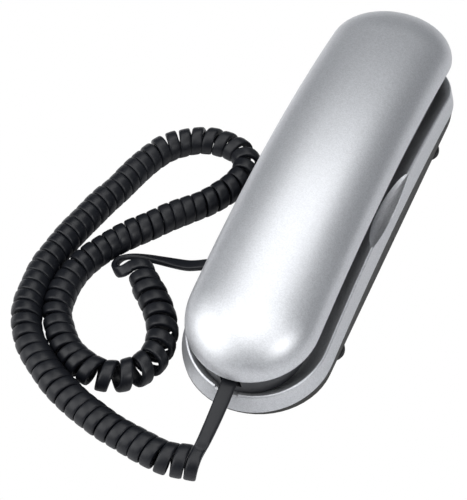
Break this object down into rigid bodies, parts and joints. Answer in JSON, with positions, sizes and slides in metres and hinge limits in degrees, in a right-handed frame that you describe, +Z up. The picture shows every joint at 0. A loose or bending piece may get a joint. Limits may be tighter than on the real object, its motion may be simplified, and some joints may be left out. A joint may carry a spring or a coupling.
{
  "type": "corded landline phone",
  "caption": "Slim arched corded phone: a silver handset with its keypad on the underside lies in an arched cradle base, joined by a dark curly cord.",
  "frame": {"origin": "on the floor, under the middle of the base", "axes": "+X to the right, +Y along the phone towards the earpiece end, +Z up"},
  "size_m": [0.1313, 0.2407, 0.0524],
  "materials": {
    "silver_paint": "satin metallic silver paint on moulded plastic",
    "charcoal_plastic": "fine matt charcoal moulding",
    "cover_plastic": "matt dark grey moulding",
    "rubber": "matt black rubber",
    "cord_pvc": "semi-gloss near-black cord jacket",
    "board": "green solder mask",
    "steel": "plain steel",
    "clear_plastic": "clear moulded plastic",
    "key_plastic": null
  },
  "bodies": {
    "base": {"base_top_shell": "silver_paint", "base_bottom_cover": "cover_plastic", "lower_left_foot": "rubber", "lower_right_foot": "rubber", "upper_left_foot": "rubber", "upper_right_foot": "rubber", "lower_left_base_screw": "steel", "lower_right_base_screw": "steel", "upper_left_base_screw": "steel", "upper_right_base_screw": "steel", "base_circuit_board": "board", "hook_spring": "steel", "hook_switch": "charcoal_plastic", "ringer": "charcoal_plastic", "ringer_switch": "steel", "line_jack": "charcoal_plastic", "base_cord_jack": "charcoal_plastic", "base_cord_plug": "clear_plastic", "base_weight": "steel", "handset_hanger_tab": "charcoal_plastic", "handset_cord_lead": "cord_pvc", "curly_cord": "cord_pvc", "base_cord_lead": "cord_pvc"},
    "handset": {"handset_back_shell": "silver_paint", "handset_front_shell": "charcoal_plastic", "keypad_mat": "rubber", "handset_circuit_board": "board", "receiver_gasket": "rubber", "receiver_capsule": "steel", "microphone_boot": "rubber", "microphone_capsule": "steel", "handset_cord_jack": "clear_plastic", "handset_weight": "steel", "upper_handset_screw": "steel", "lower_handset_screw": "steel", "handset_cord_plug": "clear_plastic"},
    "key_1": {"key_1": "key_plastic"},
    "key_2": {"key_2": "key_plastic"},
    "key_3": {"key_3": "key_plastic"},
    "key_4": {"key_4": "key_plastic"},
    "key_5": {"key_5": "key_plastic"},
    "key_6": {"key_6": "key_plastic"},
    "key_7": {"key_7": "key_plastic"},
    "key_8": {"key_8": "key_plastic"},
    "key_9": {"key_9": "key_plastic"},
    "key_star": {"key_star": "key_plastic"},
    "key_0": {"key_0": "key_plastic"},
    "key_hash": {"key_hash": "key_plastic"},
    "key_flash": {"key_flash": "key_plastic"},
    "key_redial": {"key_redial": "key_plastic"},
    "key_mute": {"key_mute": "key_plastic"},
    "hook_plunger": {"hook_plunger": "charcoal_plastic"},
    "hook_switch_lever": {"hook_switch_lever": "steel"},
    "ringer_switch_knob": {"ringer_switch_knob": "rubber"}
  },
  "joints": [
    {"name": "handset_lift", "type": "slide", "parent": "base", "child": "handset", "axis": [0, 0, 1], "range_m": [0, 0.06]},
    {"name": "key_1_press", "type": "slide", "parent": "handset", "child": "key_1", "axis": [0, 0, 1], "range_m": [0, 0.0012], "stiffness_N_per_m": 300, "springref_m": -0.0006},
    {"name": "key_2_press", "type": "slide", "parent": "handset", "child": "key_2", "axis": [0, 0, 1], "range_m": [0, 0.0012], "stiffness_N_per_m": 300, "springref_m": -0.0006},
    {"name": "key_3_press", "type": "slide", "parent": "handset", "child": "key_3", "axis": [0, 0, 1], "range_m": [0, 0.0012], "stiffness_N_per_m": 300, "springref_m": -0.0006},
    {"name": "key_4_press", "type": "slide", "parent": "handset", "child": "key_4", "axis": [0, 0, 1], "range_m": [0, 0.0012], "stiffness_N_per_m": 300, "springref_m": -0.0006},
    {"name": "key_5_press", "type": "slide", "parent": "handset", "child": "key_5", "axis": [0, 0, 1], "range_m": [0, 0.0012], "stiffness_N_per_m": 300, "springref_m": -0.0006},
    {"name": "key_6_press", "type": "slide", "parent": "handset", "child": "key_6", "axis": [0, 0, 1], "range_m": [0, 0.0012], "stiffness_N_per_m": 300, "springref_m": -0.0006},
    {"name": "key_7_press", "type": "slide", "parent": "handset", "child": "key_7", "axis": [0, 0, 1], "range_m": [0, 0.0012], "stiffness_N_per_m": 300, "springref_m": -0.0006},
    {"name": "key_8_press", "type": "slide", "parent": "handset", "child": "key_8", "axis": [0, 0, 1], "range_m": [0, 0.0012], "stiffness_N_per_m": 300, "springref_m": -0.0006},
    {"name": "key_9_press", "type": "slide", "parent": "handset", "child": "key_9", "axis": [0, 0, 1], "range_m": [0, 0.0012], "stiffness_N_per_m": 300, "springref_m": -0.0006},
    {"name": "key_star_press", "type": "slide", "parent": "handset", "child": "key_star", "axis": [0, 0, 1], "range_m": [0, 0.0012], "stiffness_N_per_m": 300, "springref_m": -0.0006},
    {"name": "key_0_press", "type": "slide", "parent": "handset", "child": "key_0", "axis": [0, 0, 1], "range_m": [0, 0.0012], "stiffness_N_per_m": 300, "springref_m": -0.0006},
    {"name": "key_hash_press", "type": "slide", "parent": "handset", "child": "key_hash", "axis": [0, 0, 1], "range_m": [0, 0.0012], "stiffness_N_per_m": 300, "springref_m": -0.0006},
    {"name": "key_flash_press", "type": "slide", "parent": "handset", "child": "key_flash", "axis": [0, 0, 1], "range_m": [0, 0.0012], "stiffness_N_per_m": 300, "springref_m": -0.0006},
    {"name": "key_redial_press", "type": "slide", "parent": "handset", "child": "key_redial", "axis": [0, 0, 1], "range_m": [0, 0.0012], "stiffness_N_per_m": 300, "springref_m": -0.0006},
    {"name": "key_mute_press", "type": "slide", "parent": "handset", "child": "key_mute", "axis": [0, 0, 1], "range_m": [0, 0.0012], "stiffness_N_per_m": 300, "springref_m": -0.0006},
    {"name": "hook_plunger_slide", "type": "slide", "parent": "base", "child": "hook_plunger", "axis": [0, 0, 1], "range_m": [0, 0.0024], "deforming": ["hook_spring"]},
    {"name": "hook_switch_lever_turn", "type": "hinge", "parent": "base", "child": "hook_switch_lever", "pos_m": [0.0158, 0.042, 0.0109], "axis": [0, 1, 0], "range_deg": [0, 13.07]},
    {"name": "ringer_knob_slide", "type": "slide", "parent": "base", "child": "ringer_switch_knob", "axis": [0, 1, 0], "range_m": [-0.002, 0.002]}
  ],
  "couplings": [
    {"joint": "hook_plunger_slide", "follows": "handset_lift", "ratio": 0.04},
    {"joint": "hook_switch_lever_turn", "follows": "handset_lift", "rad_per_m": 3.8}
  ]
}
